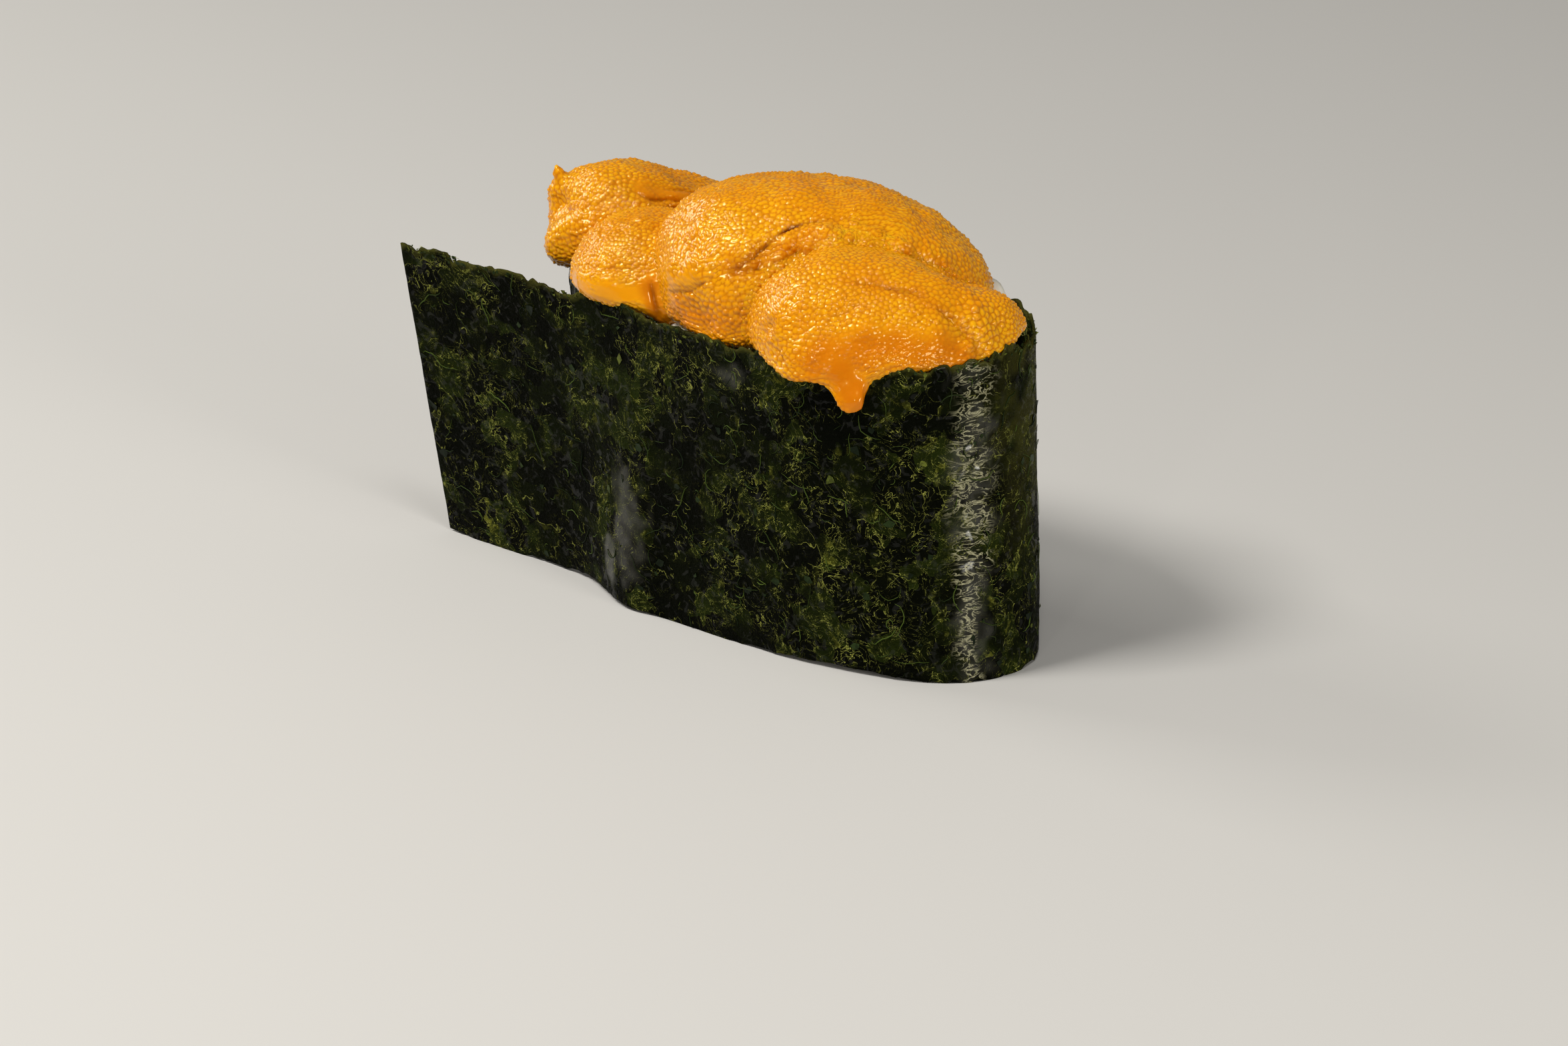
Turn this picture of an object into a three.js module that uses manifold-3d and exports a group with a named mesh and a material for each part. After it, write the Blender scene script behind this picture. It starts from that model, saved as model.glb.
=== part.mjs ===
// Sea urchin gunkan sushi: a strip of nori wrapped once round a bed of rice, with four lobes of sea urchin on top.
// Millimetres, +Z up. The origin is on the table under the middle of the wrap. +X runs to the rounded near end,
// -Y is the front, where the nori overlaps itself, and its loose end stands out past the far end, at -X.
import * as THREE from "three";
import { mergeVertices } from "three/addons/utils/BufferGeometryUtils.js";
import Module from "manifold-3d";

const wasm = await Module();
wasm.setup();

// Driving dimensions
const NORI_HEIGHT = 32;
const NORI_THICKNESS = 0.45;
const CLEARANCE = 0.3;
const RICE_EDGE_HEIGHT = 28.5;
const RICE_MIDDLE_HEIGHT = 31.5;
const GRAIN = { length: 5.6, width: 2.6, thickness: 2.2 };

// The wrap's outline is a rounded oval that is longer at the foot and wider at the rim, so its walls lean.
const FOOT = { near: 30, far: 26.2, halfWidth: 13.2, roundness: 2.4 };
const RIM = { near: 27.1, far: 27.4, halfWidth: 16, roundness: 2.4 };

const mix = THREE.MathUtils.lerp;

// Shared helpers

// A manifold-3d solid from a closed three.js geometry.
function solidOf(geometry) {
  const bare = new THREE.BufferGeometry();
  bare.setAttribute("position", geometry.getAttribute("position"));
  if (geometry.index) bare.setIndex(geometry.index);
  const merged = mergeVertices(bare, 1e-4);
  return new wasm.Manifold(
    new wasm.Mesh({
      numProp: 3,
      vertProperties: new Float32Array(merged.attributes.position.array),
      triVerts: new Uint32Array(merged.index.array),
    }),
  );
}

// The largest body of a solid as a three.js geometry: a cut can leave loose scraps behind.
function geometryOf(solid) {
  const bodies = solid.decompose().sort((a, b) => b.volume() - a.volume());
  const mesh = bodies[0].getMesh();
  const positions = new Float32Array(mesh.numVert * 3);
  for (let i = 0; i < mesh.numVert; i += 1)
    for (let k = 0; k < 3; k += 1)
      positions[i * 3 + k] = mesh.vertProperties[i * mesh.numProp + k];
  const geometry = new THREE.BufferGeometry();
  geometry.setAttribute("position", new THREE.BufferAttribute(positions, 3));
  geometry.setIndex(new THREE.BufferAttribute(mesh.triVerts, 1));
  geometry.computeVertexNormals();
  return geometry;
}

// Moves every vertex of a geometry to where place() puts it.
function reshape(geometry, place) {
  const position = geometry.getAttribute("position");
  const point = new THREE.Vector3();
  for (let i = 0; i < position.count; i += 1) {
    point.fromBufferAttribute(position, i);
    const moved = place(point);
    position.setXYZ(i, moved.x, moved.y, moved.z);
  }
  return geometry;
}

// A repeatable draw from 0 to 1.
function seeded(seed) {
  let state = seed;
  return () => {
    state = (state * 1664525 + 1013904223) % 4294967296;
    return state / 4294967296;
  };
}

// Nori wrap: one strip of dried seaweed, pressed to the rice and lapped over its own start.

// A point of the oval outline at an angle, 0 at the near end and 90 degrees at the back.
function ovalPoint(oval, degrees) {
  const angle = THREE.MathUtils.degToRad(degrees);
  const power = 2 / oval.roundness;
  const c = Math.cos(angle);
  const s = Math.sin(angle);
  const reach = c > 0 ? oval.near : oval.far;
  return new THREE.Vector2(
    Math.sign(c) * reach * Math.abs(c) ** power,
    Math.sign(s) * oval.halfWidth * Math.abs(s) ** power,
  );
}

// The outline between foot and rim at a height, drawn in by an inset.
function ovalAt(share, inset) {
  return {
    near: mix(FOOT.near, RIM.near, share) - inset,
    far: mix(FOOT.far, RIM.far, share) - inset,
    halfWidth: mix(FOOT.halfWidth, RIM.halfWidth, share) - inset,
    roundness: mix(FOOT.roundness, RIM.roundness, share),
  };
}

// The strip starts on the front, tucked in under the lap, goes round the far end, the back and the near end, laps
// its own start and leaves the rice as a straight loose end that leans out at the top.
const STRIP_START = 250;
const TUCK = 0.84;
const LAP_FROM = -75;
const FOOT_LAP = [
  [-1, -13], [-5, -13.1], [-8.5, -13.9], [-11, -13.6], [-15, -11.9],
  [-19, -10.3], [-24, -9.8], [-33, -9.9], [-39.1, -9.9],
];
const RIM_LAP = [
  [0.5, -15.6], [-5, -15.1], [-10, -14.7], [-17, -14.9],
  [-24, -15], [-31, -15.7], [-39.1, -16.8],
];
const STRIP_STEPS = 116;
const STRIP_ROWS = 4;

// Both cut edges rise and fall a little along the strip: how far, and how many radians from end to end.
const FOOT_LIFT = 0.3;
const FOOT_WAVE = { rise: 0.25, turn: 31 };
const RIM_WAVE = { rise: 0.25, turn: 47 };
const RIM_RIPPLE = { rise: 0.2, turn: 83, start: 1 };

function stripPath(oval, lap) {
  const points = [];
  for (let degrees = STRIP_START; degrees > LAP_FROM; degrees -= 1) {
    const p = ovalPoint(oval, degrees);
    points.push(new THREE.Vector3(p.x, degrees > 180 ? p.y * TUCK : p.y, 0));
  }
  for (const [x, y] of lap) points.push(new THREE.Vector3(x, y, 0));
  const curve = new THREE.CatmullRomCurve3(points, false, "centripetal");
  curve.arcLengthDivisions = 1200;
  return curve.getSpacedPoints(STRIP_STEPS);
}

const footPath = stripPath(FOOT, FOOT_LAP);
const rimPath = stripPath(RIM, RIM_LAP);

// A point of the strip: along it, up it, and off its middle surface.
function stripPoint(step, up, off) {
  const low = footPath[step];
  const high = rimPath[step];
  const before = Math.max(step - 1, 0);
  const after = Math.min(step + 1, STRIP_STEPS);
  const ahead = footPath[after].clone().sub(footPath[before]).lerp(rimPath[after].clone().sub(rimPath[before]), up);
  const normal = new THREE.Vector3(ahead.y, -ahead.x, 0).normalize();
  const share = step / STRIP_STEPS;
  const foot = FOOT_LIFT + FOOT_WAVE.rise * Math.sin(share * FOOT_WAVE.turn);
  const wave = RIM_WAVE.rise * Math.sin(share * RIM_WAVE.turn);
  const ripple = RIM_RIPPLE.rise * Math.sin(share * RIM_RIPPLE.turn + RIM_RIPPLE.start);
  const point = low.clone().lerp(high, up).addScaledVector(normal, off);
  point.z = mix(foot, NORI_HEIGHT + wave + ripple, up);
  return point;
}

function noriGeometry(extra = 0) {
  const strip = new THREE.BoxGeometry(1, 1, 1, STRIP_STEPS, STRIP_ROWS, 1);
  return reshape(strip, (p) => {
    const step = Math.round((p.x + 0.5) * STRIP_STEPS);
    const point = stripPoint(step, p.y + 0.5, p.z * (NORI_THICKNESS + 2 * extra));
    point.z += Math.sign(p.y) * (Math.abs(p.y) === 0.5 ? extra : 0);
    return point;
  });
}

// Sea urchin lobes: plump tongues laid slantwise over the rice. Each is a rounded cushion with its own axes: along
// its length, across it to the back, and up. The lean slides its crest off the middle of its foot, the taper thins
// it towards one end, the ends can bow back and sag, and each bulge pulls the skin round one direction.
const LOBE_DETAIL = 8;
const LOBES = {
  lobe_centre: {
    middle: [4.1, 0, 33.5], yaw: 44, halfLength: 16.5, halfWidth: 12.2, over: 11.2, under: 4,
    fullness: 2.2, lean: [-3.4, 0.8], taper: 0, ends: [0, 0],
    bulges: [
      { at: [-0.7, -0.7, -0.2], reach: 0.5, pull: [1, -1.8, -1.2] },
      { at: [0.2, -0.9, 0.1], reach: 0.5, pull: [0, 1.5, 0] },
    ],
  },
  lobe_front: {
    middle: [16.2, -4.2, 32.8], yaw: 43.5, halfLength: 13.6, halfWidth: 8.6, over: 8.1, under: 3,
    fullness: 2.2, lean: [-1.6, 1.5], taper: 0.2, ends: [2.2, 0.4],
    bulges: [
      { at: [-0.6, -0.78, -0.1], reach: 0.36, pull: [-0.2, -1.6, -1.6] },
      { at: [-0.22, -0.93, -0.3], reach: 0.17, pull: [-0.3, -1.4, -3.4] },
      { at: [0.5, -0.85, -0.1], reach: 0.45, pull: [0, -0.8, -0.6] },
      { at: [-0.75, 0.1, 0.65], reach: 0.35, pull: [1, 0, -1.6] },
      { at: [0.6, 0.2, 0.75], reach: 0.4, pull: [0, 0, -2] },
      { at: [1, 0, 0], reach: 0.3, pull: [0.2, 0, 0] },
    ],
  },
  lobe_left: {
    middle: [-11.2, -7.2, 32.8], yaw: 42, halfLength: 9.5, halfWidth: 7.2, over: 6.5, under: 2.5,
    fullness: 2.2, lean: [-0.3, 1.4], taper: 0, ends: [0, 0],
    bulges: [{ at: [0.6, -0.75, -0.15], reach: 0.5, pull: [1.6, -2.6, -1.8] }],
  },
  lobe_far: {
    middle: [-20, 1.2, 33.5], yaw: 44, halfLength: 11, halfWidth: 7.4, over: 7.4, under: 2.6,
    fullness: 2.2, lean: [-0.9, 0], taper: 0.25, ends: [0, 0],
    bulges: [
      { at: [-0.86, 0, 0.5], reach: 0.2, pull: [-1, 0, 0.6] },
      { at: [0.4, 0, 0.9], reach: 0.5, pull: [0, 0, -0.8] },
      { at: [0.3, 0.95, -0.2], reach: 0.6, pull: [1, 3, 0] },
    ],
  },
};

function lobeGeometry(lobe, grow = 0) {
  const turn = THREE.MathUtils.degToRad(lobe.yaw);
  const axes = new THREE.Matrix4().makeRotationZ(turn).setPosition(...lobe.middle);
  const bulges = lobe.bulges.map(({ at, reach, pull }) => ({
    at: new THREE.Vector3(...at).normalize(),
    reach,
    pull: new THREE.Vector3(...pull),
  }));
  return reshape(new THREE.IcosahedronGeometry(1, LOBE_DETAIL), (p) => {
    const round = (Math.abs(p.x) ** lobe.fullness + Math.abs(p.y) ** lobe.fullness + Math.abs(p.z) ** lobe.fullness)
      ** (-1 / lobe.fullness);
    const full = p.clone().multiplyScalar(round);
    const narrow = 1 - lobe.taper * full.x;
    const tall = full.z > 0 ? lobe.over : lobe.under;
    const point = new THREE.Vector3(
      full.x * (lobe.halfLength + grow) + lobe.lean[0] * Math.max(full.z, 0),
      full.y * (lobe.halfWidth * narrow + grow) + lobe.lean[1] * Math.max(full.z, 0) + lobe.ends[0] * full.x ** 2,
      full.z * (tall * narrow + grow) + lobe.ends[1] * full.x ** 2,
    );
    for (const { at, reach, pull } of bulges)
      point.addScaledVector(pull, Math.exp(-p.distanceToSquared(at) / reach ** 2));
    return point.applyMatrix4(axes);
  });
}

// Rice bed: a packed core that fills the wrap, with the grains that show fused on top of it.
const PRESS_GAP = 0.2;
const CORE_GAP = NORI_THICKNESS + CLEARANCE + PRESS_GAP;

// The core's profile from its underside's middle to the top of its straight side, and the rings of its domed top.
const CORE_SIDE = [[0, 0], [0.5, 0], [1, 0], [1, 0.5], [1, 1]];
const CORE_TOP_RINGS = [0.9, 0.65, 0.35, 0];
const CORE_SEGMENTS = 56;

// The core's surface: how far out towards the wrap, how far round, and how far up, past 1 on the domed top.
function corePoint(radius, degrees, up, grow = 0) {
  const side = Math.min(up, 1) * RICE_EDGE_HEIGHT;
  const z = side + Math.max(up - 1, 0) * (RICE_MIDDLE_HEIGHT - RICE_EDGE_HEIGHT);
  const edge = ovalPoint(ovalAt(z / NORI_HEIGHT, CORE_GAP - grow), degrees);
  return new THREE.Vector3(edge.x * radius, edge.y * radius, z + grow);
}

// On the domed top the height falls with the square of the distance from the middle.
function topHeight(radius) {
  return 2 - radius ** 2;
}

function riceCore(grow = 0) {
  const rings = CORE_TOP_RINGS.map((radius) => [radius, topHeight(radius)]);
  const profile = [...CORE_SIDE, ...rings].map(([radius, up]) => new THREE.Vector2(radius, up));
  const lathe = new THREE.LatheGeometry(profile, CORE_SEGMENTS);
  return reshape(lathe, (p) => {
    const degrees = THREE.MathUtils.radToDeg(Math.atan2(-p.z, p.x));
    return corePoint(Math.hypot(p.x, p.z), degrees, p.y, grow);
  });
}

// Grains lie every way on the top, tilted a little and pressed in to differing depths, and keep off its very edge.
// One that would touch a lobe or the wrap is skipped.
const GRAINS = 190;
const GRAIN_TILT = 0.7;
const GRAIN_SINK = 0.2;
const GRAIN_STEP = 0.6;
const GRAIN_REACH = 0.95;

function riceGrains(taken) {
  const draw = seeded(11);
  const grains = [];
  for (let i = 0; i < GRAINS; i += 1) {
    const grain = new THREE.SphereGeometry(1, 6, 4);
    grain.scale(GRAIN.width / 2, GRAIN.length / 2, GRAIN.thickness / 2);
    grain.rotateX((draw() - 0.5) * GRAIN_TILT);
    grain.rotateZ(draw() * Math.PI * 2);
    const radius = Math.sqrt(draw()) * GRAIN_REACH;
    const place = corePoint(radius, draw() * 360, topHeight(radius));
    grain.translate(place.x, place.y, place.z - GRAIN_SINK + draw() * GRAIN_STEP);
    const solid = solidOf(grain);
    if (solid.intersect(taken).isEmpty()) grains.push(solid);
  }
  return grains;
}

const materials = {
  nori: new THREE.MeshStandardMaterial({ color: 0x16200f, roughness: 0.45, metalness: 0 }),
  uni: new THREE.MeshStandardMaterial({ color: 0xf09a12, roughness: 0.35, metalness: 0 }),
  rice: new THREE.MeshStandardMaterial({ color: 0xf1ece0, roughness: 0.5, metalness: 0 }),
};

const sushi = new THREE.Group();

function add(name, geometry, material) {
  const mesh = new THREE.Mesh(geometry, material);
  mesh.name = name;
  sushi.add(mesh);
}

add("nori_wrap", noriGeometry(), materials.nori);

// The lobes lie on the rice and against each other, each cut clear of the wrap, the rice and the lobes before it.
const wrapSpace = solidOf(noriGeometry(CLEARANCE));
let taken = wrapSpace.add(solidOf(riceCore(CLEARANCE)));
let lobeSpace = wrapSpace;
for (const [name, lobe] of Object.entries(LOBES)) {
  add(name, geometryOf(solidOf(lobeGeometry(lobe)).subtract(taken)), materials.uni);
  const around = solidOf(lobeGeometry(lobe, CLEARANCE));
  taken = taken.add(around);
  lobeSpace = lobeSpace.add(around);
}

const core = solidOf(riceCore()).subtract(wrapSpace);
const rice = riceGrains(lobeSpace).reduce((heap, grain) => heap.add(grain), core);
add("rice_bed", geometryOf(rice), materials.rice);

export default sushi;
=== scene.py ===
import math

import bpy
import numpy as np
from mathutils import Matrix, Vector
from mathutils.bvhtree import BVHTree
from mathutils.kdtree import KDTree


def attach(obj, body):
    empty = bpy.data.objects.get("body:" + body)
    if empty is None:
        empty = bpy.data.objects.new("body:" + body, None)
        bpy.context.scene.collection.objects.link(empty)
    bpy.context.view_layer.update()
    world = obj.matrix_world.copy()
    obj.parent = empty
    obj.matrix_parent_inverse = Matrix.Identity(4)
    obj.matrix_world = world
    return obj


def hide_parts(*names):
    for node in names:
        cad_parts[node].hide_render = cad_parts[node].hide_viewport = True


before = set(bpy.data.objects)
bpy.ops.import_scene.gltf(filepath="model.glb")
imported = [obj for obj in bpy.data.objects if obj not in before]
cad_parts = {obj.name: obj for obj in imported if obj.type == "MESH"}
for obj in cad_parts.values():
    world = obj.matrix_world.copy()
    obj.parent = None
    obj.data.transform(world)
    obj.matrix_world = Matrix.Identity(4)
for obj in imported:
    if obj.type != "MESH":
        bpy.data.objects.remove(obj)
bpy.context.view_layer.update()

# Nori wrap: a strip of dried, pressed seaweed, wrapped round the rice with its ends lapped on the front.
# It is a thin felt of dark green bits of leaf, crumbly along its cut rim, dull with a few glossy patches and
# painted highlights.
# The wrap stands on its lower edge. Sizes are in millimetres, with x towards the near end and z up.
MM = 0.001
NORI_HEIGHT = 32.0
NORI_THICKNESS = 0.45
NORI_SHEET = 0.28
FOOT = {"near": 30.0, "far": 26.2, "half": 13.2}
RIM = {"near": 27.1, "far": 27.4, "half": 16.0}
OVAL_ROUNDNESS = 2.4
STRIP_START = 250
TUCK = 0.84
LAP_FROM = -75
FOOT_LAP = [(-1, -13), (-5, -13.1), (-8.5, -13.9), (-11, -13.6), (-15, -11.9), (-19, -10.3), (-24, -9.8),
            (-33, -9.9), (-39.1, -9.9)]
RIM_LAP = [(0.5, -15.6), (-5, -15.1), (-10, -14.7), (-17, -14.9), (-24, -15), (-31, -15.7), (-39.1, -16.8)]
FOOT_LIFT = 0.3
FOOT_WAVE = (0.25, 31)
RIM_WAVE = (0.25, 47)
RIM_RIPPLE = (0.2, 83)
NORI_STEP = 0.36
NORI_ROWS = 92
RELIEF_SHARE = 0.6
BROAD_WAVES = (0.16, 9)
SMALL_WAVES = (0.08, 3.2)
COCKLE = (0.035, 0.9)
RIDGES = (0.05, 2.4)
CORNER = 96.0
CORNER_REACH = 4.2
FOLDS = (0.65, 1.5)
FINE_FOLDS = (0.35, 0.75)
RAGGED_FINE = (0.24, 0.8)
RAGGED_BROAD = (0.14, 2.7)
NOTCH_DEPTH = 0.9
NOTCH_SIZE = 1.1
NOTCH_FROM = 0.35
TORN_AT = 86
TORN_REACH = 7
TORN_EXTRA = 2.2
TABLE_GAP = 0.02


def hashed(cells, seed):
    """A repeatable draw from 0 to 1 for each row of whole numbers."""
    bits = cells.astype(np.int64) @ np.array([73856093, 19349663, 83492791]) + seed * 2654435761
    bits = (bits ^ (bits >> 13)) * 1274126177 & 0xFFFFFFFF
    bits = (bits ^ (bits >> 16)) * 2246822519 & 0xFFFFFFFF
    return ((bits ^ (bits >> 15)) & 0xFFFFFF) / 0xFFFFFF


def noise(points, size, seed):
    """Smooth noise from -1 to 1 with features of the given size in millimetres."""
    scaled = points / size
    cell = np.floor(scaled)
    blend = scaled - cell
    blend = blend * blend * (3 - 2 * blend)
    total = np.zeros(len(points))
    for corner in np.ndindex(2, 2, 2):
        weight = np.prod(np.where(corner, blend, 1 - blend), axis=1)
        total += weight * hashed(cell + corner, seed)
    return total * 2 - 1


def waves(points, shape, seed):
    """Noise of a given height and size."""
    return shape[0] * noise(points, shape[1], seed)


def smooth(value, low, high):
    """Rises smoothly from 0 at low to 1 at high."""
    share = np.clip((value - low) / (high - low), 0, 1)
    return share * share * (3 - 2 * share)


def make_piece(name, points, faces, material, replaced=None):
    """A smooth mesh piece from points in millimetres, on the body and in place of its CAD node."""
    mesh = bpy.data.meshes.new(name)
    mesh.from_pydata((points * MM).tolist(), [], faces)
    mesh.shade_smooth()
    mesh.materials.append(material)
    piece = bpy.data.objects.new(name, mesh)
    bpy.context.scene.collection.objects.link(piece)
    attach(piece, "root")
    if replaced:
        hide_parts(replaced)
    return piece


def store(piece, name, values):
    """Keeps one number for each point of a mesh, for its material to read."""
    kept = piece.data.attributes.new(name, "FLOAT", "POINT")
    kept.data.foreach_set("value", values.astype(np.float32))


def grid_faces(columns, rows, closed=False):
    """The quads of a grid of points that runs row by row up each column."""
    last = columns if closed else columns - 1
    i, j = np.meshgrid(np.arange(last), np.arange(rows - 1), indexing="ij")
    a = i * rows + j
    b = (i + 1) % columns * rows + j
    return np.stack([a, b, b + 1, a + 1], -1).reshape(-1, 4)


def oval_points(oval, degrees):
    """Points of the wrap's outline, at angles from the near end round by the back."""
    c = np.cos(np.radians(degrees))
    s = np.sin(np.radians(degrees))
    power = 2 / OVAL_ROUNDNESS
    reach = np.where(c > 0, oval["near"], oval["far"])
    x = np.sign(c) * reach * np.abs(c) ** power
    y = np.sign(s) * oval["half"] * np.abs(s) ** power
    return np.stack([x, np.where(degrees > 180, y * TUCK, y)], -1)


def smooth_line(points, parts=24):
    """A Catmull-Rom line through points."""
    ends = np.vstack([2 * points[0] - points[1], points, 2 * points[-1] - points[-2]])
    t = np.linspace(0, 1, parts, endpoint=False)[:, None]
    pieces = []
    for a, b, c, d in zip(ends, ends[1:], ends[2:], ends[3:]):
        bend = 2 * a - 5 * b + 4 * c - d
        twist = 3 * b - a - 3 * c + d
        pieces.append(0.5 * (2 * b + (c - a) * t + bend * t ** 2 + twist * t ** 3))
    return np.vstack(pieces + [points[-1:]])


def even_line(points, count):
    """The same line with evenly spaced points."""
    along = np.concatenate([[0], np.cumsum(np.linalg.norm(np.diff(points, axis=0), axis=1))])
    at = np.linspace(0, along[-1], count)
    return np.stack([np.interp(at, along, points[:, k]) for k in range(points.shape[1])], -1)


def strip_line(oval, lap, count):
    """The strip seen from above, from its tucked start round to its loose end."""
    turn = oval_points(oval, np.arange(STRIP_START, LAP_FROM, -1.0))
    tail = smooth_line(np.vstack([turn[-3::2], np.array(lap, float)]))
    line = even_line(np.vstack([turn[:-3], tail]), count)
    reach = count // 90
    padded = np.vstack([2 * line[0] - line[reach:0:-1], line, 2 * line[-1] - line[-2:-reach - 2:-1]])
    blur = np.hanning(2 * reach + 3)[1:-1]
    return np.stack([np.convolve(padded[:, k], blur / blur.sum(), "valid") for k in (0, 1)], -1)


strip_length = np.linalg.norm(np.diff(strip_line(RIM, RIM_LAP, 400), axis=0), axis=1).sum()
NORI_COLUMNS = int(strip_length / NORI_STEP)
foot_line = strip_line(FOOT, FOOT_LAP, NORI_COLUMNS)
rim_line = strip_line(RIM, RIM_LAP, NORI_COLUMNS)


def at_columns(line, columns):
    """Values of a line of the strip at columns that may lie between two of its points."""
    return np.stack([np.interp(columns, np.arange(NORI_COLUMNS), line[:, k]) for k in (0, 1)], -1)


def strip_points(columns, ups, offs):
    """Points of the strip: by column along it, share of its height, and distance off its middle."""
    up = ups[:, None]
    ahead_low = at_columns(np.gradient(foot_line, axis=0), columns)
    ahead_high = at_columns(np.gradient(rim_line, axis=0), columns)
    ahead = ahead_low * (1 - up) + ahead_high * up
    normal = np.stack([ahead[:, 1], -ahead[:, 0]], -1)
    normal /= np.linalg.norm(normal, axis=1)[:, None]
    plan = at_columns(foot_line, columns) * (1 - up) + at_columns(rim_line, columns) * up
    plan = plan + normal * offs[:, None]
    share = columns / (NORI_COLUMNS - 1)
    foot = FOOT_LIFT + FOOT_WAVE[0] * np.sin(share * FOOT_WAVE[1])
    rim = NORI_HEIGHT + RIM_WAVE[0] * np.sin(share * RIM_WAVE[1])
    rim = rim + RIM_RIPPLE[0] * np.sin(share * RIM_RIPPLE[1] + 1)
    return np.column_stack([plan, foot * (1 - ups) + rim * ups])


def nori_flat(columns, ups):
    """Where a place on the strip lies on the flat sheet, for noise that follows the sheet."""
    return np.column_stack([columns * NORI_STEP, ups * NORI_HEIGHT, np.zeros(len(columns))])


def nori_relief(columns, ups):
    """How far the sheet stands off its smooth shape: waves, fine cockling, and folds at the near corner."""
    flat = nori_flat(columns, ups)
    broad = waves(flat, BROAD_WAVES, 1) + waves(flat, SMALL_WAVES, 2)
    cockle = waves(flat, COCKLE, 3) + np.abs(waves(flat * (1.0, 2.2, 1.0), RIDGES, 4))
    along = flat[:, 0] - CORNER
    slant = np.column_stack([flat[:, 1] + 0.8 * np.abs(along), along * 0.35, np.zeros(len(flat))])
    slant += 0.9 * noise(flat, 2.6, 8)[:, None]
    folds = 0.5 - np.abs(waves(slant, FOLDS, 5)) - np.abs(waves(slant, FINE_FOLDS, 9))
    band = np.exp(-(along / CORNER_REACH) ** 2) * (0.25 + 0.75 * smooth(flat[:, 1], 5, 13))
    return broad + cockle + band * folds


def ragged(columns, seed):
    """How far the cut edge stands above its line at each column, or below it where it is torn."""
    flat = np.column_stack([columns * NORI_STEP, np.zeros((len(columns), 2))])
    notch = np.clip(noise(flat, NOTCH_SIZE, seed) - NOTCH_FROM, 0, 1)
    torn = 1 + TORN_EXTRA * np.exp(-((columns * NORI_STEP - TORN_AT) / TORN_REACH) ** 2)
    uneven = waves(flat, RAGGED_FINE, seed + 1) + waves(flat, RAGGED_BROAD, seed + 2)
    return torn * (uneven - NOTCH_DEPTH * notch)


every_column, every_row = np.meshgrid(np.arange(NORI_COLUMNS), np.arange(NORI_ROWS), indexing="ij")
columns = every_column.ravel()
rows = every_row.ravel()
ups = rows / (NORI_ROWS - 1)
relief = RELIEF_SHARE * nori_relief(columns, ups)
outer = strip_points(columns.astype(float), ups, NORI_THICKNESS / 2 + relief)
inner = strip_points(columns.astype(float), ups, NORI_THICKNESS / 2 - NORI_SHEET + relief)
for face in (outer, inner):
    face[:, 2] += ragged(columns, 21) * smooth(ups, 0.93, 1)
    face[:, 2] += ragged(columns, 31) * 0.3 * smooth(ups, 0.05, 0)
    face[:, 2] = np.maximum(face[:, 2], TABLE_GAP)
total = NORI_COLUMNS * NORI_ROWS
quads = grid_faces(NORI_COLUMNS, NORI_ROWS)
loop = np.concatenate([
    np.arange(NORI_COLUMNS) * NORI_ROWS,
    (NORI_COLUMNS - 1) * NORI_ROWS + np.arange(1, NORI_ROWS),
    np.arange(NORI_COLUMNS - 2, -1, -1) * NORI_ROWS + NORI_ROWS - 1,
    np.arange(NORI_ROWS - 2, 0, -1),
])
edge = np.stack([loop, loop + total, np.roll(loop, -1) + total, np.roll(loop, -1)], -1)
nori_faces = np.vstack([quads, quads[:, ::-1] + total, edge])

NORI_DARK = (0.0014, 0.0018, 0.0004, 1)
NORI_GREEN = (0.012, 0.018, 0.002, 1)
NORI_OLIVE = (0.11, 0.112, 0.012, 1)
NORI_VEIN = (0.33, 0.345, 0.07, 1)
NORI_RIM_AND_GLOW = (0.055, 0.054, 0.01, 1)
NORI_PAINTED_SHEEN = (0.03, 0.029, 0.01, 1)
NORI_PAINTED_HIGHLIGHT = (0.42, 0.4, 0.24, 1)
LEAVES_PER_METRE = 360.0
BITS_PER_METRE = 850.0
GRAINS_PER_METRE = 2600.0
PATCHES_PER_METRE = 150.0
CLOUDS_PER_METRE = 430.0
THREADS_PER_METRE = 340.0
FINE_THREADS_PER_METRE = 1300.0
FILM_PER_METRE = 700.0
CRINKLES_PER_METRE = 750.0
STREAKS_PER_METRE = 560.0
LEAF_WARP = 0.0045
STREAK_SQUASH = (0.75, 0.75, 1.9)


def give(tree, socket, value):
    """Gives an input its constant, or a link from another node."""
    if isinstance(value, bpy.types.NodeSocket):
        tree.links.new(value, socket)
    else:
        socket.default_value = value


def add_node(tree, kind, settings=None, **inputs):
    """A shader node with its settings and inputs; underscores in names of inputs stand for spaces."""
    node = tree.nodes.new(kind)
    for key, value in (settings or {}).items():
        setattr(node, key, value)
    for name, value in inputs.items():
        name = name.replace("_", " ")
        give(tree, next(s for s in node.inputs if s.name == name and s.enabled), value)
    return node


def new_material(name, **constants):
    """A material with its shader, some of whose inputs are constants; underscores stand for spaces."""
    material = bpy.data.materials.new(name)
    material.use_nodes = True
    tree = material.node_tree
    shader = tree.nodes["Principled BSDF"]
    for key, value in constants.items():
        shader.inputs[key.replace("_", " ")].default_value = value
    return material, tree, shader


def read_value(tree, name):
    """Reads a number stored on the mesh."""
    return add_node(tree, "ShaderNodeAttribute", {"attribute_name": name}).outputs["Fac"]


def object_place(tree):
    """The place on the piece, in metres, which keeps to the piece as it moves."""
    return tree.nodes.new("ShaderNodeTexCoord").outputs["Object"]


def mixed(tree, share, first, second):
    """Mixes two colours by a share from 0 to 1."""
    node = add_node(tree, "ShaderNodeMix", {"data_type": "RGBA"}, Factor=share, A=first, B=second)
    return next(s for s in node.outputs if s.enabled)


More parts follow.
